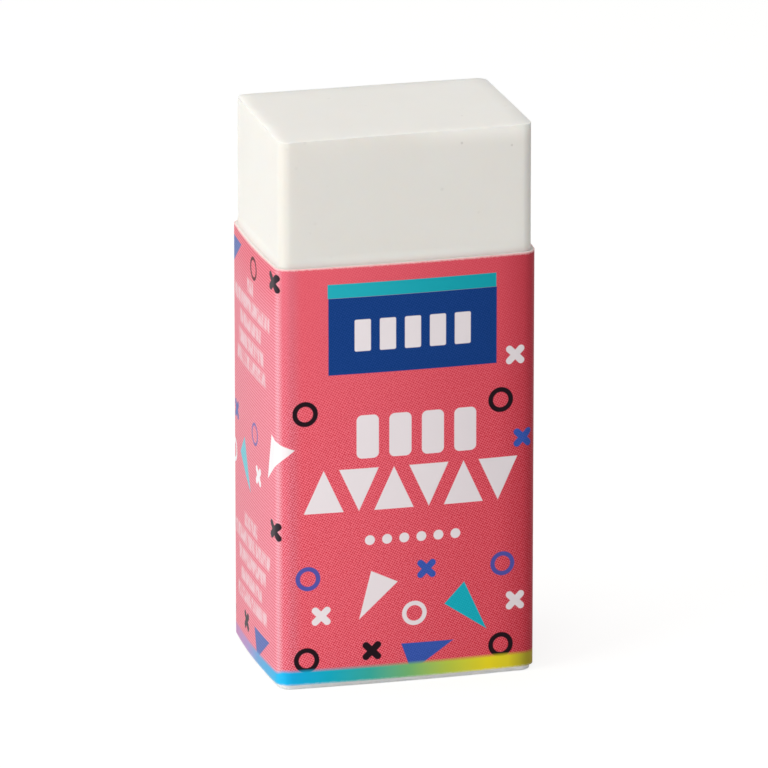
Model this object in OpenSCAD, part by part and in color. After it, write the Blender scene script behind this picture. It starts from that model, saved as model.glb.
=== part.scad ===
// Block eraser that stands on end in a folded card sleeve.
// The front faces -Y, +X is to the right of the front and +Z runs up the block.
// The origin is the middle of the block's foot, on the surface that it stands on.

/* [Block] */
// Width of the block across its front
block_w = 18.2; // [14:0.1:30]
// Depth of the block from front to back
block_d = 12.8; // [9:0.1:20]
// Length of the block between its two cut ends
block_h = 40; // [36:0.5:60]
// Radius of the four long edges
long_edge_r = 0.8; // [0.4:0.1:1.6]
// Radius of the rim round each cut end
rim_r = 0.1; // [0.05:0.05:0.35]

/* [Sleeve] */
// Thickness of the card
card = 0.24; // [0.16:0.02:0.5]
// Length of the sleeve along the block
sleeve_h = 30.4; // [20:0.2:35]
// Height of the sleeve's lower edge above the block's foot
sleeve_lift = 0.4; // [0.2:0.1:0.8]
// Clearance between the card and the block on each side
clearance = 0.04; // [0.02:0.01:0.2]
// Outward bulge of the wide panels, front and back, at their middle
wide_bulge = 0.23; // [0.05:0.01:0.5]
// Outward bulge of the narrow panels, left and right, at their middle
narrow_bulge = 0.2; // [0.03:0.01:0.4]

/* [Glued seam on the back] */
// Width of the lap where the strip's ends are glued over each other
lap_w = 6.5; // [4:0.5:8]
// Place of the lap's middle across the back, to the right of the block's middle
lap_x = 1; // [-1:0.5:1]
// Length over which the outer end steps up onto the inner end
step_w = 0.9; // [0.5:0.1:1.2]

/* [Hidden] */
$fn = 96;

// The long edges of the block and the folds of the sleeve turn about the same four lines
fold_x = block_w / 2 - long_edge_r;
fold_y = block_d / 2 - long_edge_r;
fold_r = long_edge_r + clearance;

// Straight runs that a bulging panel is drawn with
PANEL_RUNS = 16;
// Straight runs of the step at the seam
STEP_RUNS = 6;

inner_end_x = lap_x + lap_w / 2;
outer_end_x = lap_x - lap_w / 2;

// Half the section of a cut length: from its middle out to `reach`, with both rims rounded
module rimmed_half(reach) {
    square([reach - rim_r, block_h]);
    translate([0, rim_r])
        square([reach, block_h - 2 * rim_r]);
    for (z = [rim_r, block_h - rim_r])
        translate([reach - rim_r, z])
            circle(rim_r);
}

// One flat side of the block beyond the fold lines, run along X from the middle of the side
module block_side(length) {
    rotate([90, 0, 90])
        translate([0, 0, -length / 2])
            linear_extrude(length)
                rimmed_half(long_edge_r);
}

// Block of soft rubber, pressed through a die that rounds its long edges and cut to length
module rubber_block() {
    color("ivory") {
        translate([-fold_x, -fold_y, 0])
            cube([2 * fold_x, 2 * fold_y, block_h]);
        for (turn = [0, 180])
            rotate([0, 0, turn]) {
                translate([0, fold_y, 0])
                    block_side(2 * fold_x);
                translate([-fold_x, 0, 0])
                    rotate([0, 0, 90])
                        block_side(2 * fold_y);
                translate([fold_x, fold_y, 0])
                    rotate_extrude(angle = 90)
                        rimmed_half(long_edge_r);
                translate([-fold_x, fold_y, 0])
                    rotate([0, 0, 90])
                        rotate_extrude(angle = 90)
                            rimmed_half(long_edge_r);
            }
    }
}

// Height of a bulging panel above its folds at x, for a panel that reaches `half` each way
function bulge_at(x, half, bulge) = bulge * (1 - pow(x / half, 2));

// Places along a panel from x = a to x = b, both included
function places(a, b, runs) = [for (i = [0:runs]) a + (b - a) * i / runs];

// Soft step from 0 at t = 0 to 1 at t = 1, level at both ends
function soft_step(t) = t * t * (3 - 2 * t);

// One line of card: a bulging panel's face seen end on, lifted by `lift`
function panel_line(xs, half, bulge, lift) =
    [for (x = xs) [x, bulge_at(x, half, bulge) + lift]];

// Section of a plain panel, inner face at y = 0 where it meets its folds
module panel(half, bulge) {
    polygon(concat(
        panel_line(places(-half, half, PANEL_RUNS), half, bulge, 0),
        panel_line(places(half, -half, PANEL_RUNS), half, bulge, card)
    ));
}

// How far the outer end of the strip is lifted at x: not at all at the right, one card on the lap
function outer_end_lift(x) =
    card * (1 - soft_step(min(1, max(0, (x - inner_end_x) / step_w))));

// Section of the back panel: the inner end comes from the left, the outer end from the right
module lapped_panel() {
    step_end_x = inner_end_x + step_w;
    under_left = places(-fold_x, inner_end_x, PANEL_RUNS);
    step_out = places(inner_end_x, step_end_x, STEP_RUNS);
    far_right = places(step_end_x, fold_x, STEP_RUNS);
    lap = places(inner_end_x, outer_end_x, PANEL_RUNS);
    over_left = places(outer_end_x, -fold_x, PANEL_RUNS);
    function lifted(xs, layers) =
        [for (x = xs) [x, bulge_at(x, fold_x, wide_bulge) + outer_end_lift(x) + layers * card]];
    polygon(concat(
        panel_line(under_left, fold_x, wide_bulge, 0),
        lifted(step_out, 0),
        lifted([for (i = [1:STEP_RUNS]) far_right[i]], 0),
        lifted([for (i = [STEP_RUNS:-1:1]) far_right[i]], 1),
        lifted([for (i = [STEP_RUNS:-1:1]) step_out[i]], 1),
        lifted(lap, 1),
        panel_line(over_left, fold_x, wide_bulge, card)
    ));
}

// Section of one fold: a quarter turn of card about the corner of the block
module fold() {
    intersection() {
        difference() {
            circle(fold_r + card);
            circle(fold_r);
        }
        square(fold_r + card);
    }
}

// Printed card folded round the block as one strip, closed by the lap on the back
module card_sleeve() {
    color([0.88, 0.35, 0.41])
        translate([0, 0, sleeve_lift])
            linear_extrude(sleeve_h) {
                translate([0, fold_y + fold_r])
                    lapped_panel();
                rotate(180)
                    translate([0, fold_y + fold_r])
                        panel(fold_x, wide_bulge);
                for (turn = [90, 270])
                    rotate(turn)
                        translate([0, fold_x + fold_r])
                            panel(fold_y, narrow_bulge);
                for (turn = [0, 180])
                    rotate(turn)
                        for (flip = [0, 1])
                            mirror([flip, 0])
                                translate([fold_x, fold_y])
                                    fold();
            }
}

rubber_block();
card_sleeve();
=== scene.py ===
import math
import bmesh
import bpy
from mathutils import Matrix, Vector, noise


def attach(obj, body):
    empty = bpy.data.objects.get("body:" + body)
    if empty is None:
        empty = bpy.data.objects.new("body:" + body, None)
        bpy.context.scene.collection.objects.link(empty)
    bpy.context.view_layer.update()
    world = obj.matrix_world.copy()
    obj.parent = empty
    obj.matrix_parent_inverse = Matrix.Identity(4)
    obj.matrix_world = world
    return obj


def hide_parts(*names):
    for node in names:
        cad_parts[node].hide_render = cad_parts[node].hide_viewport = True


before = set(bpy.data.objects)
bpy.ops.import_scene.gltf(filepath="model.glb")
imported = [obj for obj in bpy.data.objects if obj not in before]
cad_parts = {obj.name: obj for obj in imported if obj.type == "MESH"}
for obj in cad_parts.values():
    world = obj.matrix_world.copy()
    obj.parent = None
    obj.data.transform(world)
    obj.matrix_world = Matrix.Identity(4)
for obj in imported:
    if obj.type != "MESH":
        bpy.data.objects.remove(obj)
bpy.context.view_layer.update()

# The table and the light. The eraser stands on a plain white table with a pale surround, lit
# by three soft lamps: one on its left, one in front and to the left, and one above. The camera
# looks a little down on it from the left of its front.
scene = bpy.context.scene
scene.view_settings.view_transform = "Standard"

camera_turn, camera_rise = math.radians(14.745), math.radians(17.033)
camera_distance = 0.63666
framed_aside, framed_height = 0.000032, 0.019915
towards_camera = Vector((
    -math.sin(camera_turn) * math.cos(camera_rise),
    -math.cos(camera_turn) * math.cos(camera_rise),
    math.sin(camera_rise)))
sideways = Vector((math.cos(camera_turn), -math.sin(camera_turn), 0))
upwards = towards_camera.cross(sideways)
camera_data = bpy.data.cameras.new("camera")
camera_data.lens = 423.7
camera_data.sensor_width = 36
camera_data.clip_start = 0.05
camera_data.clip_end = 20
camera = bpy.data.objects.new("camera", camera_data)
scene.collection.objects.link(camera)
framed_spot = sideways * framed_aside + Vector((0, 0, framed_height))
camera_spot = framed_spot + towards_camera * camera_distance
camera_axes = Matrix((sideways, upwards, towards_camera)).transposed().to_4x4()
camera.matrix_world = Matrix.Translation(camera_spot) @ camera_axes
scene.camera = camera

lit_spot = Vector((0, 0, 0.02))
white_light = (1, 1, 1)
faintly_green_light = (0.985, 1.0, 0.985)
for name, spot, width, power, light in (
        ("lamp_left", (-0.42, -0.14, 0.17), 0.26, 1.29, faintly_green_light),
        ("lamp_front", (-0.20, -0.51, 0.26), 0.36, 1.13, white_light),
        ("lamp_above", (-0.05, 0.05, 0.55), 0.35, 1.52, white_light)):
    lamp_data = bpy.data.lights.new(name, "AREA")
    lamp_data.shape = "SQUARE"
    lamp_data.size = width
    lamp_data.energy = power
    lamp_data.color = light
    lamp = bpy.data.objects.new(name, lamp_data)
    lamp.location = spot
    lamp.rotation_euler = (lit_spot - Vector(spot)).to_track_quat("-Z", "Y").to_euler()
    lamp.visible_camera = False
    scene.collection.objects.link(lamp)


class Amount:
    """A number that varies over a surface. Sums with it add nodes to the tree it belongs to."""

    def __init__(self, socket):
        self.socket = socket
        self.tree = socket.id_data

    def worked(self, operation, *others, turned_round=False):
        node = self.tree.nodes.new("ShaderNodeMath")
        node.operation = operation
        values = (*others, self) if turned_round else (self, *others)
        for socket, value in zip(node.inputs, values):
            feed(socket, value)
        return Amount(node.outputs[0])

    def __add__(self, other):
        return self.worked("ADD", other)

    def __sub__(self, other):
        return self.worked("SUBTRACT", other)

    def __rsub__(self, other):
        return self.worked("SUBTRACT", other, turned_round=True)

    def __mul__(self, other):
        return self.worked("MULTIPLY", other)

    def __truediv__(self, other):
        return self.worked("DIVIDE", other)

    def __abs__(self):
        return self.worked("ABSOLUTE")

    def at_least(self, other):
        return self.worked("MAXIMUM", other)

    def at_most(self, other):
        return self.worked("MINIMUM", other)

    def held(self):
        """The same amount, held between 0 and 1."""
        self.socket.node.use_clamp = True
        return self


def feed(socket, value):
    """Give a socket what another node puts out, or a plain value."""
    if isinstance(value, Amount):
        value = value.socket
    if isinstance(value, bpy.types.NodeSocket):
        socket.id_data.links.new(value, socket)
    else:
        socket.default_value = value


def new_node(tree, kind, settings=None, **inputs):
    node = tree.nodes.new(kind)
    for name, value in (settings or {}).items():
        setattr(node, name, value)
    for name, value in inputs.items():
        feed(node.inputs[name.replace("_", " ")], value)
    return node


def pale_to_the_eye(tree, lit, seen):
    """Camera, glossy and transmission rays meet the shader `seen`; all other light meets `lit`."""
    rays = tree.nodes.new("ShaderNodeLightPath").outputs
    looked_at = Amount(rays["Is Camera Ray"]).at_least(rays["Is Glossy Ray"])
    looked_at = looked_at.at_least(rays["Is Transmission Ray"])
    either = tree.nodes.new("ShaderNodeMixShader")
    for socket, value in zip(either.inputs, (looked_at, lit.outputs[0], seen.outputs[0])):
        feed(socket, value)
    return either.outputs[0]


surround = bpy.data.worlds.new("pale surround")
scene.world = surround
surround.use_nodes = True
tree = surround.node_tree
dim_sky = tree.nodes["Background"]
dim_sky.inputs["Color"].default_value = (1, 1, 1, 1)
dim_sky.inputs["Strength"].default_value = 0.14
white_sky = new_node(tree, "ShaderNodeBackground", Color=(1, 1, 1, 1), Strength=1.0)
feed(tree.nodes["World Output"].inputs["Surface"], pale_to_the_eye(tree, dim_sky, white_sky))

table_mesh = bpy.data.meshes.new("white_table")
bm = bmesh.new()
bmesh.ops.create_grid(bm, x_segments=8, y_segments=8, size=4)
bm.to_mesh(table_mesh)
bm.free()
white_table = bpy.data.objects.new("white_table", table_mesh)
scene.collection.objects.link(white_table)
table_paint = bpy.data.materials.new("white table")
table_paint.use_nodes = True
tree = table_paint.node_tree
tree.nodes.remove(tree.nodes["Principled BSDF"])
plain = new_node(tree, "ShaderNodeBsdfDiffuse", Color=(0.82, 0.82, 0.82, 1))
shadowed = new_node(tree, "ShaderNodeBsdfDiffuse", Color=(0.25, 0.25, 0.24, 1))
glow = new_node(tree, "ShaderNodeEmission", Strength=0.83)
white = tree.nodes.new("ShaderNodeAddShader")
feed(white.inputs[0], shadowed.outputs[0])
feed(white.inputs[1], glow.outputs[0])
feed(tree.nodes["Material Output"].inputs["Surface"], pale_to_the_eye(tree, plain, white))
table_mesh.materials.append(table_paint)

# The block. It is soft white vinyl rubber, extruded as a bar with rounded long edges and cut to
# length, which leaves flat ends with a slightly rough rim. The sleeve is pushed on over it. Painted
# light makes it paler beside the upper end's left edge and at the top of its front.
block_width, block_depth, block_height = 0.0182, 0.0128, 0.040
long_edge_radius, rim_radius = 0.0008, 0.00004
same_place = 1e-6

bm = bmesh.new()
block_size = Matrix.Diagonal((block_width, block_depth, block_height, 1))
bmesh.ops.create_cube(
    bm, size=1, matrix=Matrix.Translation((0, 0, block_height / 2)) @ block_size)


def rise_of(edge):
    return abs(edge.verts[0].co.z - edge.verts[1].co.z)


def round_off(bm, edges, radius, segments):
    bmesh.ops.bevel(
        bm, geom=edges, offset=radius, offset_type="OFFSET", segments=segments, profile=0.5,
        affect="EDGES", material=-1, clamp_overlap=True)


round_off(bm, [e for e in bm.edges if rise_of(e) > block_height / 2], long_edge_radius, 14)
rims = [
    e for e in bm.edges
    if rise_of(e) < same_place and len({round(abs(f.normal.z)) for f in e.link_faces}) == 2]
round_off(bm, rims, rim_radius, 3)


def cut_across(bm, axis, places):
    for place in places:
        spot, line = Vector((0, 0, 0)), Vector((0, 0, 0))
        spot[axis], line[axis] = place, 1
        bmesh.ops.bisect_plane(
            bm, geom=bm.verts[:] + bm.edges[:] + bm.faces[:], dist=1e-7,
            plane_co=spot, plane_no=line)


flat_x, flat_y = block_width / 2 - long_edge_radius, block_depth / 2 - long_edge_radius
cut_across(bm, 0, [flat_x * i / 28 for i in range(-27, 28)])
cut_across(bm, 1, [flat_y * i / 19 for i in range(-18, 19)])
cuts_at_foot = [0.0004, 0.0008]
cuts_at_sleeve_top = [
    0.0305, 0.0306, 0.0307, 0.0308, 0.03089, 0.03098, 0.0311, 0.0312, 0.0314, 0.0315]
cuts_at_top = [0.0392, 0.0396, 0.0398]
even_cuts = [block_height * i / 90 for i in range(3, 88)]
cut_across(bm, 2, cuts_at_foot + cuts_at_sleeve_top + cuts_at_top + even_cuts)

# The faces are a little uneven and the rims a little ragged.
unevenness = 0.000022
raggedness, ragged_height = 0.00005, 0.0006
# The rubber fills the bulging panels of the sleeve, and narrows again just above it.
swelling_end, swelling_fade = 0.0316, 0.0008
swelling_at_sides, swelling_at_faces, swelling_all_round = 0.000195, 0.000225, 0.000036
# Above the sleeve the long edges are a little sharper.
sharper_from, sharper_fade, squareness = 0.0312, 0.0003, 2.18
# The upper end was cut a little out of square, and is lowest at its front left corner.
out_of_square, out_of_square_share = 0.00018, 0.2

bm.normal_update()
moved = {}
for v in bm.verts:
    x, y, z = v.co
    on_side = 1 - abs(v.normal.z)
    inward = unevenness * (0.5 + 0.5 * noise.noise(v.co * 180))
    near_rim = max(0.0, 1 - min(z, block_height - z) / ragged_height)
    ragged = noise.noise(v.co * 1500) + 0.5 * noise.noise(v.co * 3700)
    inward += near_rim * on_side * raggedness * max(0.0, 0.5 + ragged)
    moved[v] = -v.normal * inward
    if abs(x) > flat_x and abs(y) > flat_y and z > sharper_from:
        reach_x = (abs(x) - flat_x) / long_edge_radius
        reach_y = (abs(y) - flat_y) / long_edge_radius
        squared = (reach_x ** squareness + reach_y ** squareness) ** (1 / squareness)
        spread = math.hypot(reach_x, reach_y) / squared - 1
        spread *= min(1.0, (z - sharper_from) / sharper_fade)
        corner = Vector((math.copysign(flat_x, x), math.copysign(flat_y, y), z))
        moved[v] += (v.co - corner) * spread
    swelling = max(0.0, min(1.0, (swelling_end - z) / swelling_fade))
    swelling = swelling * swelling * (3 - 2 * swelling) * on_side
    moved[v] += v.normal * swelling * (inward + swelling_all_round)
    if abs(v.normal.x) > 0.7:
        along_side = max(0.0, 1 - (y / flat_y) ** 2)
        moved[v].x += math.copysign(swelling * swelling_at_sides * along_side, x)
    if abs(v.normal.y) > 0.7:
        along_face = max(0.0, 1 - (x / flat_x) ** 2)
        moved[v].y += math.copysign(swelling * swelling_at_faces * along_face, y)
    towards_corner = (0.5 - x / block_width) * (0.5 - y / block_depth)
    near_top = max(0.0, z / block_height - 1 + out_of_square_share) / out_of_square_share
    moved[v].z -= out_of_square * towards_corner * near_top
for v, step in moved.items():
    v.co += step
block_mesh = bpy.data.meshes.new("white_block")

# Unwrapped for its colours: the four sides in one strip, the two cut ends above it.
baked = bm.loops.layers.uv.new("OFBake")
bake_width = 0.0625
quarter_turn = long_edge_radius * math.pi / 2
upper_end_shift, lower_end_shift, ends_height = 0.012, 0.036, 0.0505
margin = 0.0008


def way_round(x, y):
    """Length along the block's outline to the point at (x, y), from the middle of its back."""
    if abs(x) <= flat_x and y > 0:
        return -x
    if abs(x) <= flat_x:
        return 2 * flat_x + 2 * quarter_turn + 2 * flat_y + x
    if abs(y) <= flat_y and x < 0:
        return flat_x + quarter_turn + flat_y - y
    if abs(y) <= flat_y:
        return 3 * flat_x + 3 * quarter_turn + 3 * flat_y + y
    bend = math.atan2(y - math.copysign(flat_y, y), x - math.copysign(flat_x, x))
    if x < 0 < y:
        return flat_x + (bend - math.pi / 2) * long_edge_radius
    if x < 0:
        return flat_x + quarter_turn + 2 * flat_y + (bend + math.pi) * long_edge_radius
    if y < 0:
        return 3 * flat_x + 2 * quarter_turn + 2 * flat_y + (bend + math.pi / 2) * long_edge_radius
    return 3 * flat_x + 3 * quarter_turn + 4 * flat_y + bend * long_edge_radius


outline = 4 * flat_x + 4 * flat_y + 4 * quarter_turn
for f in bm.faces:
    centre = f.calc_center_median()
    middle = way_round(centre.x, centre.y) % outline
    for loop in f.loops:
        x, y, z = loop.vert.co
        if abs(f.normal.z) > 0.7:
            shift = upper_end_shift if f.normal.z > 0 else lower_end_shift
            spot = Vector((x + shift, y + ends_height))
        else:
            place = way_round(x, y)
            place = middle + (place - middle + outline / 2) % outline - outline / 2
            spot = Vector((place + margin, z + margin))
        loop[baked].uv = spot / bake_width
    f.smooth = True
bm.to_mesh(block_mesh)
bm.free()
white_block = bpy.data.objects.new("white_block", block_mesh)
scene.collection.objects.link(white_block)


def blend_colours(share, first, second):
    node = share.tree.nodes.new("ShaderNodeMix")
    node.data_type = "RGBA"
    feed(node.inputs[0], share)
    feed(node.inputs[6], first)
    feed(node.inputs[7], second)
    return node.outputs[2]


def cloudy(place, scale, detail, roughness=0.5):
    """Soft noise about 0.5, in lumps about 1 / scale across."""
    return Amount(new_node(
        place.id_data, "ShaderNodeTexNoise",
        Vector=place, Scale=scale, Detail=detail, Roughness=roughness).outputs[0])


def parts_of(place):
    node = new_node(place.id_data, "ShaderNodeSeparateXYZ", Vector=place)
    return [Amount(part) for part in node.outputs]


def soft_ramp(value, start, end):
    """0 before `start`, 1 past `end`, and a smooth rise between them."""
    return Amount(new_node(
        value.tree, "ShaderNodeMapRange", {"interpolation_type": "SMOOTHSTEP"},
        Value=value, From_Min=start, From_Max=end).outputs[0])


warm_white, cool_white = (0.80, 0.775, 0.725, 1), (0.83, 0.81, 0.765, 1)
pit_shade, painted_pink_shade = (0.55, 0.52, 0.47, 1), (0.72, 0.50, 0.47, 1)
painted_edge_shade, painted_edge_light = (0.765, 0.735, 0.675, 1), (0.93, 0.91, 0.86, 1)
painted_foot_light, dirt = (0.96, 0.965, 0.945, 1), (0.42, 0.39, 0.35, 1)

rubber = bpy.data.materials.new("white vinyl rubber")
rubber.use_nodes = True
tree = rubber.node_tree
surface = tree.nodes["Principled BSDF"]
coordinates = tree.nodes.new("ShaderNodeTexCoord").outputs
place = coordinates["Object"]
clouds = cloudy(place, 260.0, 3.0)
grain = cloudy(place, 2600.0, 4.0, 0.6)
pores = new_node(tree, "ShaderNodeTexVoronoi", Vector=place, Scale=900.0, Randomness=1.0)
pits = (1.0 - Amount(pores.outputs["Distance"]) / 0.16).held()
pits = pits * ((cloudy(place, 420.0, 0.0) - 0.60) * 9.0).held()
tone = blend_colours(clouds, warm_white, cool_white)
tone = blend_colours(pits * 0.35, tone, pit_shade)

# Painted shade with a pink cast of light bounced off the card darkens the rubber just above the
# sleeve and under it. The rounded edge between the left side and the front is darkened with painted
# shade, and the foot below the sleeve is lightened with painted light.
aside, _, height_above_foot = parts_of(place)
facing_right, facing_back, facing_up = parts_of(coordinates["Normal"])
under_sleeve = soft_ramp(height_above_foot, 0.0313, 0.0308)
# Painted pink shade where the card's edge meets the rubber.
tone = blend_colours(under_sleeve * 0.30, tone, painted_pink_shade)
on_bend = soft_ramp(facing_right * facing_back, 0.12, 0.45)
# Painted shade on the rounded edge between the left side and the front.
tone = blend_colours(on_bend, tone, painted_edge_shade)
# Painted light on the upper end beside its left edge and at the top of the front.
beside_left = soft_ramp(aside, -0.0084, -0.0091) * soft_ramp(facing_up, 0.5, 0.9)
top_of_front = soft_ramp(height_above_foot, 0.0386, 0.0400) * soft_ramp(facing_back, -0.5, -0.9)
top_of_front = top_of_front * soft_ramp(aside, -0.001, 0.004)
tone = blend_colours((beside_left * 0.85 + top_of_front * 0.80).held(), tone, painted_edge_light)
# Painted light on the foot below the sleeve, where the sleeve's shadow falls.
tone = blend_colours(soft_ramp(height_above_foot, 0.0009, 0.0005), tone, painted_foot_light)
# A few dark specks of dirt sit on the cut end and just under its front edge.
for spot, width in (
        ((-0.00313, -0.00332, 0.04000), 0.00013), ((0.00486, -0.00298, 0.04000), 0.00012),
        ((0.00393, -0.00640, 0.03896), 0.00013), ((0.00753, -0.00640, 0.03856), 0.00012)):
    away = new_node(tree, "ShaderNodeVectorMath", {"operation": "DISTANCE"}, Vector=place)
    away.inputs[1].default_value = spot
    speck = (1.0 - Amount(away.outputs["Value"]) / width).held()
    tone = blend_colours(speck * 0.55, tone, dirt)
feed(surface.inputs["Base Color"], tone)
feed(surface.inputs["Roughness"], grain * 0.16 + 0.40)
surface.inputs["IOR"].default_value = 1.42
surface.inputs["Subsurface Weight"].default_value = 0.35
surface.inputs["Subsurface Radius"].default_value = (1.0, 0.75, 0.55)
surface.inputs["Subsurface Scale"].default_value = 0.0012
relief = (grain * 0.5 - pits) + clouds * 1.2
bump = new_node(tree, "ShaderNodeBump", Strength=0.35, Distance=0.00003, Height=relief)
feed(surface.inputs["Normal"], bump.outputs[0])
block_mesh.materials.append(rubber)
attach(white_block, "block")
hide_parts("rubber_block")

# The sleeve. One strip of thin coated card, printed on its outside, creased round the block's
# four long edges and glued where its ends lap on the back. The cut edges and the inside are bare.
card, clearance = 0.00024, 0.00004
fold_x, fold_y = flat_x, flat_y
fold_outside = long_edge_radius + clearance + card
bend_length = fold_outside * math.pi / 2
wide_bulge, narrow_bulge = 0.00023, 0.0002
sleeve_foot, sleeve_height = 0.0004, 0.0304
inner_end_x, outer_end_x, step_length = 0.00425, -0.00225, 0.0009
half_way_round = 2 * fold_x + 2 * bend_length + 2 * fold_y
strip_start, strip_end = -(half_way_round + inner_end_x), half_way_round - outer_end_x
strip_length, strip_middle = strip_end - strip_start, (strip_start + strip_end) / 2
printed_side, bare_side, cut_edge = 0, 1, 2


def folded(along, depth):
    """Where a point of the flat strip comes to lie, `along` from the middle of the front and
    `depth` in from the outside of the card."""
    side = 1 if along > 0 else -1
    reach = fold_outside - depth
    along = abs(along)
    if along <= fold_x:
        return side * along, -(fold_y + reach + wide_bulge * (1 - (along / fold_x) ** 2))
    along -= fold_x
    if along <= bend_length:
        angle = along / fold_outside
        return side * (fold_x + reach * math.sin(angle)), -(fold_y + reach * math.cos(angle))
    along -= bend_length
    if along <= 2 * fold_y:
        y = along - fold_y
        return side * (fold_x + reach + narrow_bulge * (1 - (y / fold_y) ** 2)), y
    along -= 2 * fold_y
    if along <= bend_length:
        angle = along / fold_outside
        return side * (fold_x + reach * math.cos(angle)), fold_y + reach * math.sin(angle)
    x = fold_x - (along - bend_length)
    lift = 0
    if side > 0:
        t = max(0.0, min(1.0, (x - inner_end_x) / step_length))
        lift = card * (1 - t * t * (3 - 2 * t))
    return side * x, fold_y + reach + wide_bulge * (1 - (x / fold_x) ** 2) + lift


bm = bmesh.new()
bmesh.ops.create_grid(bm, x_segments=344, y_segments=60, size=0.5)
flat_strip = bm.loops.layers.uv.new("flat strip")
baked = bm.loops.layers.uv.new("OFBake")
copied = bmesh.ops.duplicate(bm, geom=bm.faces[:])["geom"]
inside = [g for g in copied if isinstance(g, bmesh.types.BMFace)]
inside_verts = {g for g in copied if isinstance(g, bmesh.types.BMVert)}
on_strip = {
    v: (strip_middle + v.co.x * strip_length, (v.co.y + 0.5) * sleeve_height) for v in bm.verts}
for v in inside_verts:
    v.co.z = -0.01
bmesh.ops.reverse_faces(bm, faces=inside)
cut_faces = bmesh.ops.bridge_loops(bm, edges=[e for e in bm.edges if e.is_boundary])["faces"]
for f in inside:
    f.material_index = bare_side
for f in cut_faces:
    f.material_index = cut_edge

# Two unwraps: the flat strip in millimetres, which the print follows, and one for baking, where
# the outside lies below the inside and the four cut edges are laid out in rows above them.
bake_scale, bake_margin = 0.98 / strip_length, 0.01
inside_row, upper_edge_row, lower_edge_row = 0.47, 0.915, 0.93
right_end_row, left_end_row, cut_row_width = 0.945, 0.96, 0.008
for f in bm.faces:
    f.smooth = True
    heights = [on_strip[loop.vert][1] for loop in f.loops]
    is_end = max(heights) - min(heights) > same_place
    for loop in f.loops:
        along, up = on_strip[loop.vert]
        is_deep = loop.vert in inside_verts
        bake_x = bake_margin + (along - strip_start) * bake_scale
        bake_y = bake_margin + up * bake_scale
        if f.material_index == bare_side:
            bake_y = inside_row + up * bake_scale
        if f.material_index == cut_edge:
            if is_end:
                bake_x = bake_y
                bake_y = right_end_row if along > 0 else left_end_row
            else:
                bake_y = upper_edge_row if up > sleeve_height / 2 else lower_edge_row
            bake_y += cut_row_width if is_deep else 0
            up = card if is_deep else 0
        loop[flat_strip].uv = (along * 1000, up * 1000)
        loop[baked].uv = (bake_x, bake_y)
for v in bm.verts:
    along, up = on_strip[v]
    x, y = folded(along, card if v in inside_verts else 0)
    v.co = (x, y, sleeve_foot + up)
for e in bm.edges:
    sides = {f.material_index for f in e.link_faces}
    e.smooth = len(sides) == 1 and cut_edge not in sides
sleeve_mesh = bpy.data.meshes.new("printed_sleeve")
bm.to_mesh(sleeve_mesh)
bm.free()
printed_sleeve = bpy.data.objects.new("printed_sleeve", sleeve_mesh)
scene.collection.objects.link(printed_sleeve)

# The print: a pink-red ground with a half-drop confetti of rings, crosses and triangles, a blue
# plate under a teal strip, white shapes, and a rainbow line at the foot, all under a satin
# varnish. Its places are in millimetres, from the middle of the front and the strip's lower edge.
print_face = bpy.data.materials.new("printed satin card")
print_face.use_nodes = True
tree = print_face.node_tree
surface = tree.nodes["Principled BSDF"]
sheet = new_node(tree, "ShaderNodeUVMap", {"uv_map": "flat strip"}).outputs[0]
along, up, _ = parts_of(sheet)


def length_of(x, y):
    joined = new_node(x.tree, "ShaderNodeCombineXYZ", X=x, Y=y).outputs[0]
    length = new_node(x.tree, "ShaderNodeVectorMath", {"operation": "LENGTH"}, Vector=joined)
    return Amount(length.outputs["Value"])


def in_direction(x, y, across, rise):
    """How far the point (x, y) lies in the direction (across, rise)."""
    return x * across + y * rise


# Each shape is its distance to the edge of the ink, below 0 where the ink lies.
def ring(x, y, centre_x, centre_y, radius, line):
    return abs(length_of(x - centre_x, y - centre_y) - radius) - line / 2


def cross(x, y, centre_x, centre_y):
    half_arm, line, slant = 0.60, 0.50, 0.7071
    x, y = x - centre_x, y - centre_y
    first = abs(in_direction(x, y, slant, slant))
    second = abs(in_direction(x, y, slant, -slant))
    past_end = (first.at_least(second) - half_arm).at_least(0.0)
    return length_of(past_end, first.at_most(second)) - line / 2


def triangle(x, y, *corners):
    sides = list(zip(corners, corners[1:] + corners[:1]))
    turned = -1 if sum((b[0] - a[0]) * (b[1] + a[1]) for a, b in sides) > 0 else 1
    away = None
    for a, b in sides:
        outward = Vector((b[1] - a[1], a[0] - b[0])).normalized() * turned
        edge = in_direction(x, y, *outward) - (outward.x * a[0] + outward.y * a[1])
        away = edge if away is None else away.at_least(edge)
    return away


def panel(left, right, foot, top):
    across = abs(along - (left + right) / 2) - (right - left) / 2
    return across.at_least(abs(up - (foot + top) / 2) - (top - foot) / 2)


def rounded_panel(centre_x, centre_y, half_width, half_height, corner):
    past_x = (abs(along - centre_x) - (half_width - corner)).at_least(0.0)
    past_y = (abs(up - centre_y) - (half_height - corner)).at_least(0.0)
    return length_of(past_x, past_y) - corner


def disc(centre_x, centre_y, radius):
    return length_of(along - centre_x, up - centre_y) - radius


def nearest(*distances):
    least = distances[0]
    for distance in distances[1:]:
        least = least.at_most(distance)
    return least


def inked(distance, softness=0.05):
    """1 where the ink lies, 0 outside it, and a ramp `softness` wide between them."""
    return (0.5 - distance / softness).held()


# Each row of the confetti lies half a repeat to the left of the one below. On the left panel the
# pattern is stretched a little.
row_height, row_shift, repeat_start, repeat_end, first_row_foot = 9.03, 7.08, -8.28, 5.82, 0.15
row = ((up - first_row_foot) / row_height).worked("FLOOR")
y = up - row * row_height
past_fold, far_left = soft_ramp(along, -8.6, -11.2), soft_ramp(along, -15.0, -17.5)
x = along + (past_fold * 0.4 + far_left * 0.25)
x = (x + row * row_shift).worked("WRAP", repeat_end, repeat_start)

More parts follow.
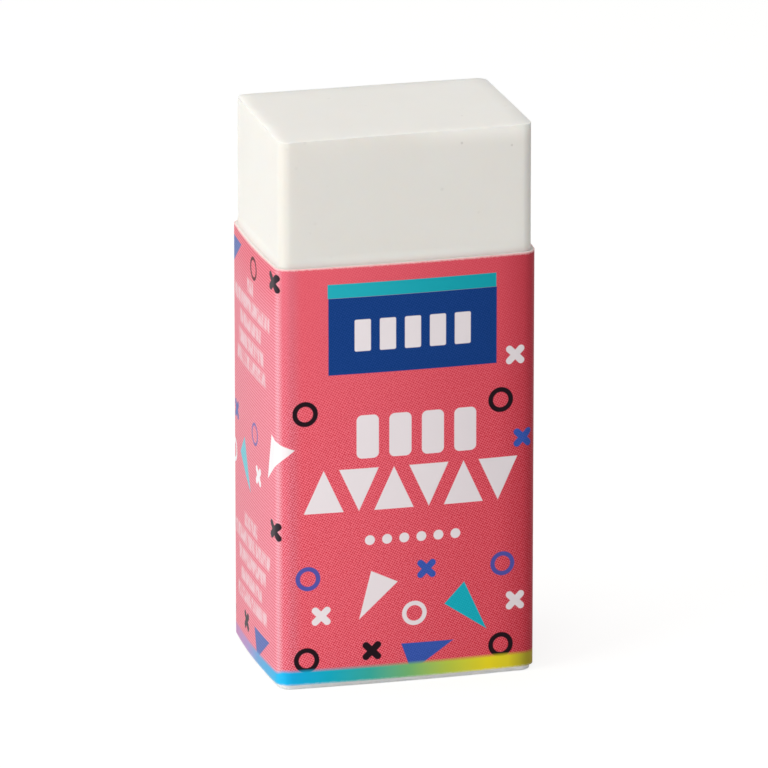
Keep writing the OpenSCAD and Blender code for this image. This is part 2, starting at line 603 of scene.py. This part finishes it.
# On the left panel the rings came out thinner.
thinner = past_fold * 0.055
black_rings = ring(x, y, -7.35, 1.80, 0.735, 0.35) + thinner
black_crosses = cross(x, y, -2.66, 2.18)
blue_rings = ring(x, y, -7.24, 7.80, 0.725, 0.32) + thinner
blue_shapes = nearest(
    cross(x, y, 1.30, 7.93),
    triangle(x, y, (-0.53, 2.53), (3.28, 2.50), (0.20, 0.40)))
white_shapes = nearest(
    ring(x, y, 0.42, 4.72, 0.735, 0.32),
    cross(x, y, -6.30, 5.00),
    triangle(x, y, (-2.71, 8.07), (-0.79, 7.15), (-3.58, 4.56)))
teal_shapes = triangle(x, y, (4.05, 6.73), (2.60, 5.21), (5.71, 3.08))
# The confetti keeps clear of the white shapes, the plate and the lines of small print.
kept_clear = nearest(
    panel(-17.6, -14.9, 29.9, 30.6), panel(-7.9, 7.5, 9.2, 18.8), panel(7.4, 12.8, 9.0, 16.2),
    panel(-6.35, 5.75, 18.8, 22.0), panel(-8.6, 6.95, 22.0, 24.2), panel(-8.6, 10.42, 24.2, 30.6),
    panel(-23.1, -10.9, 3.2, 10.5), panel(-23.1, -12.4, 10.4, 12.0), panel(-12.0, -8.3, 2.9, 6.9),
    panel(-12.0, -7.6, 13.0, 18.3), panel(-23.1, -8.3, 18.3, 27.7))
free_for_confetti = kept_clear.worked("GREATER_THAN", 0.0)

# The ground. Painted shade darkens it towards the right of the front and more round the right fold,
# a painted highlight lightens the front left fold, and painted sheen pales the left panel beyond.
front_left_ink, shaded_front_right_ink = (0.82, 0.120, 0.158, 1), (0.76, 0.088, 0.119, 1)
shaded_right_fold_ink, highlighted_left_fold_ink = (0.56, 0.051, 0.072, 1), (0.755, 0.152, 0.199, 1)
heavier_ink, crease_crack_and_highlight_ink = (0.66, 0.075, 0.10, 1), (0.62, 0.60, 0.64, 1)
sheen_left_panel_ink, sheen_left_panel_top_ink = (0.865, 0.244, 0.310, 1), (0.85, 0.170, 0.228, 1)
blotches = cloudy(sheet, 0.9, 5.0, 0.65)
left_panel_end, right_fold_end = soft_ramp(along, -22.5, -21.0), soft_ramp(along, 11.5, 9.8)
# Painted shade darkens the ground towards the right of the front.
ground = blend_colours(soft_ramp(along, -7.0, 8.0), front_left_ink, shaded_front_right_ink)
# Painted shade on the right fold.
ground = blend_colours(soft_ramp(along, 6.0, 9.2) * right_fold_end, ground, shaded_right_fold_ink)
# Painted highlight on the front left fold.
ground = blend_colours(soft_ramp(along, -7.5, -8.5) * left_panel_end, ground, highlighted_left_fold_ink)
ground = blend_colours(((blotches - 0.35) * 0.28).held(), ground, heavier_ink)
# The crease of the left fold is paler, partly cracked ink and partly a painted highlight.
crease_along, crease_width = -9.42, 0.45
crease = (1.0 - abs(along - crease_along) / crease_width).held()
on_left = soft_ramp(along, -8.95, -9.6) * left_panel_end

# The pink is printed as a fine screen of dots, which didn't all take the ink alike. On the left
# panel the screen shows as rows.
screen_across, screen_rise, rows_across, rows_rise = 27.5, 7.9, 0.6, 28.0
dots = in_direction(along, up, screen_across, screen_rise).worked("SINE")
dots = dots * in_direction(along, up, -screen_rise, screen_across).worked("SINE")
rows_of_dots = in_direction(along, up, rows_across, rows_rise).worked("SINE")
screen = (dots + rows_of_dots * on_left) * 0.5 + 0.5
screen = (screen + (cloudy(sheet, 7.5, 0.0) - 0.5) * 0.7).held()


def screened(colour, low, high, screen=screen):
    """The colour, its red, green and blue times `low` between the dots and times `high` on them."""
    tints = []
    for tint in (low, high):
        node = screen.tree.nodes.new("ShaderNodeMix")
        node.data_type = "RGBA"
        node.blend_type = "MULTIPLY"
        node.inputs[0].default_value = 1.0
        feed(node.inputs[6], colour)
        feed(node.inputs[7], (*tint, 1))
        tints.append(node.outputs[2])
    return blend_colours(screen, *tints)


# On the front the screen shows most low down and hardly at all beside the plate.
shows = soft_ramp(up, 31.0, 14.0) * 0.80 + 0.25
front_screen = (screen - 0.5) * shows + 0.5
ground = screened(ground, (0.82, 0.20, 0.26), (1.17, 1.86, 1.82), front_screen)
# On the left panel the pink is painted paler with the sheen of the varnish seen at a low angle.
sheen_pale_pink = blend_colours(soft_ramp(up, 26.0, 29.6), sheen_left_panel_ink, sheen_left_panel_top_ink)
sheen_pale_pink = screened(sheen_pale_pink, (0.88, 0.50, 0.56), (1.12, 1.52, 1.46))
ground = blend_colours(on_left, ground, sheen_pale_pink)
ground = blend_colours(crease * 0.30, ground, crease_crack_and_highlight_ink)

# The inks. Each is painted a little paler on the left panel than on the front, for the varnish's
# sheen there.
white_ink, black_ink = (0.86, 0.79, 0.81, 1), (0.018, 0.010, 0.014, 1)
ring_black = blend_colours(on_left, black_ink, (0.110, 0.008, 0.014, 1))
cross_black = blend_colours(on_left, black_ink, (0.040, 0.030, 0.038, 1))
ring_blue = blend_colours(on_left, (0.090, 0.095, 0.390, 1), (0.210, 0.160, 0.440, 1))
blue = blend_colours(on_left, (0.046, 0.107, 0.450, 1), (0.110, 0.165, 0.460, 1))
blue = screened(blue, (0.70, 0.80, 0.86), (1.30, 1.20, 1.14))
white = blend_colours(on_left, white_ink, (0.95, 0.92, 0.94, 1))
teal = blend_colours(on_left, (0.012, 0.45, 0.55, 1), (0.19, 0.60, 0.70, 1))
teal = screened(teal, (0.40, 0.90, 0.92), (1.60, 1.10, 1.08))
plate_blue = screened((0.010, 0.052, 0.232, 1), (0.40, 0.80, 0.86), (1.60, 1.20, 1.14))
# Painted shade darkens the teal strip towards the right.
strip_teal_shaded_right = blend_colours(
    soft_ramp(along, -6.0, 6.5), (0.020, 0.43, 0.51, 1), (0.010, 0.38, 0.45, 1))

colour = ground
for shapes, ink in (
        (black_rings, ring_black), (black_crosses, cross_black), (blue_rings, ring_blue),
        (blue_shapes, blue), (white_shapes, white), (teal_shapes, teal)):
    colour = blend_colours(inked(shapes) * free_for_confetti, colour, ink)

# One white triangle lies across the front left fold, where the confetti leaves room. The plate
# and its strip stand at the top of the front. White shapes fill the plate and the two rows under
# it, with a row of dots below them.
fold_triangle = triangle(along, up, (-10.5, 18.1), (-8.15, 17.28), (-11.4, 14.6))
plate, strip = panel(-5.75, 6.38, 22.57, 28.13), panel(-5.80, 6.35, 28.13, 29.15)
white_blocks = [rounded_panel(-2.95 + i * 2.35, 17.95, 0.80, 1.58, 0.40) for i in range(4)]
white_triangles = []
half_base, half_rise, triangles_up = 1.42, 1.55, 14.1
for i in range(6):
    middle, point = -6.1 + i * 2.52, half_rise if i % 2 == 0 else -half_rise
    white_triangles.append(triangle(
        along, up, (middle - half_base, triangles_up - point),
        (middle + half_base, triangles_up - point), (middle, triangles_up + point)))
white_dots = [disc(-2.8 + i * 1.24, 10.35, 0.36) for i in range(6)]
white_bars = [rounded_panel(-3.3 + i * 1.80, 25.35, 0.58, 1.15, 0.12) for i in range(5)]
for shape, ink in ((fold_triangle, white), (plate, plate_blue), (strip, strip_teal_shaded_right)):
    colour = blend_colours(inked(shape), colour, ink)
for shape in white_blocks + white_triangles + white_dots + white_bars:
    colour = blend_colours(inked(shape), colour, white_ink)

# Small print on the left panel: pale lines, blurred and broken where the ink didn't take.
lines_of_print = (
    (-16.75, -15.05, 26.75, 27.75), (-21.0, -10.95, 25.3, 26.3), (-19.1, -13.0, 23.9, 24.85),
    (-19.6, -12.4, 22.4, 23.4), (-20.2, -11.8, 21.05, 22.0), (-17.9, -14.15, 9.2, 10.15),
    (-21.0, -11.0, 7.8, 8.8), (-19.85, -12.0, 6.3, 7.3), (-19.1, -13.0, 4.9, 5.8),
    (-20.2, -11.8, 3.45, 4.4))
stretched = new_node(tree, "ShaderNodeMapping", Vector=sheet, Scale=(2.4, 0.9, 1))
strokes = soft_ramp(cloudy(stretched.outputs[0], 1.0, 1.0), 0.36, 0.58) * 0.36 + 0.14
for line_box in lines_of_print:
    colour = blend_colours(inked(panel(*line_box), 0.25) * strokes, colour, white)

# The rainbow line at the foot runs right round the sleeve. On the left panel its upper edge sits
# a little lower.
ramp_reach = 36.0
foot_line = new_node(tree, "ShaderNodeValToRGB", Fac=(along + ramp_reach) / (2 * ramp_reach))
# The dark stop at 8.6 mm is painted shade where the line turns round the right fold.
stops = (
    (-33, (0.70, 0.10, 0.16)), (-26, (0.62, 0.13, 0.42)), (-20.5, (0.56, 0.28, 0.54)),
    (-17.5, (0.47, 0.31, 0.62)), (-14.0, (0.16, 0.41, 0.72)), (-9.4, (0.03, 0.50, 0.84)),
    (-8.6, (0.010, 0.425, 0.78)), (-5.7, (0.010, 0.44, 0.580)), (-2.8, (0.046, 0.445, 0.375)),
    (0.1, (0.20, 0.525, 0.187)), (2.9, (0.525, 0.655, 0.077)), (5.8, (0.915, 0.79, 0.023)),
    (7.3, (0.83, 0.72, 0.030)), (8.6, (0.42, 0.37, 0.035)), (12, (0.80, 0.42, 0.03)),
    (24, (0.78, 0.16, 0.06)), (33, (0.70, 0.10, 0.16)))
ramp = foot_line.color_ramp
ramp.elements[0].position = (stops[0][0] + ramp_reach) / (2 * ramp_reach)
ramp.elements[1].position = (stops[-1][0] + ramp_reach) / (2 * ramp_reach)
for spot, ink in stops[1:-1]:
    ramp.elements.new((spot + ramp_reach) / (2 * ramp_reach))
for stop, (spot, ink) in zip(ramp.elements, stops):
    stop.color = (*ink, 1)
line_top = 1.04 - on_left * 0.18
colour = blend_colours(inked(up - line_top, 0.28), colour, foot_line.outputs[0])

# The knife chipped the ink along the strip's upper edge, and the table has scuffed the lower one.
chips = (cloudy(sheet, 3.5, 3.0, 0.7) - 0.5) * 0.22
chipped, scuffed = inked((30.30 - up) + chips, 0.12), inked((up - 0.07) + chips, 0.14)
colour = blend_colours(chipped * 0.85, colour, (0.96, 0.62, 0.61, 1))
colour = blend_colours(scuffed * 0.40, colour, (0.86, 0.90, 0.90, 1))
feed(surface.inputs["Base Color"], colour)

# Satin varnish over the print, with the fine tooth of the card under it. The wide panels bow a
# little more than the folded strip does.
tooth = cloudy(sheet, 9.0, 4.0, 0.6)
feed(surface.inputs["Roughness"], tooth * 0.10 + 0.29)
surface.inputs["IOR"].default_value = 1.07
relief = along * along * -0.0067 + tooth * 0.0035
bump = new_node(tree, "ShaderNodeBump", Strength=1.0, Distance=0.001, Height=relief)
feed(surface.inputs["Normal"], bump.outputs[0])
sleeve_mesh.materials.append(print_face)

# Bare card: the white board inside the sleeve, and its cut edges, which the knife left fibrous
# and which take up a little of the pink ink next to the print.
pink_taken_up = (0.93, 0.56, 0.55, 1)
for name, pale, deep, takes_up in (
        ("bare card", (0.84, 0.81, 0.78, 1), (0.74, 0.70, 0.66, 1), 0.0),
        ("cut edge of the card", (0.80, 0.77, 0.73, 1), (0.73, 0.70, 0.66, 1), 0.85)):
    board = bpy.data.materials.new(name)
    board.use_nodes = True
    tree = board.node_tree
    surface = tree.nodes["Principled BSDF"]
    place = tree.nodes.new("ShaderNodeTexCoord").outputs["Object"]
    stretched = new_node(tree, "ShaderNodeMapping", Vector=place, Scale=(2600, 2600, 900))
    fibres = cloudy(stretched.outputs[0], 1.0, 4.0, 0.6)
    colour = blend_colours(fibres, pale, deep)
    if takes_up:
        strip_place = new_node(tree, "ShaderNodeUVMap", {"uv_map": "flat strip"}).outputs[0]
        _, depth, _ = parts_of(strip_place)
        near_print = soft_ramp(depth + fibres * 0.03, 0.11, 0.05)
        colour = blend_colours(near_print * takes_up, colour, pink_taken_up)
    feed(surface.inputs["Base Color"], colour)
    surface.inputs["Roughness"].default_value = 0.85
    bump = new_node(tree, "ShaderNodeBump", Strength=0.4, Distance=0.00002, Height=fibres)
    feed(surface.inputs["Normal"], bump.outputs[0])
    sleeve_mesh.materials.append(board)
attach(printed_sleeve, "sleeve")
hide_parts("card_sleeve")
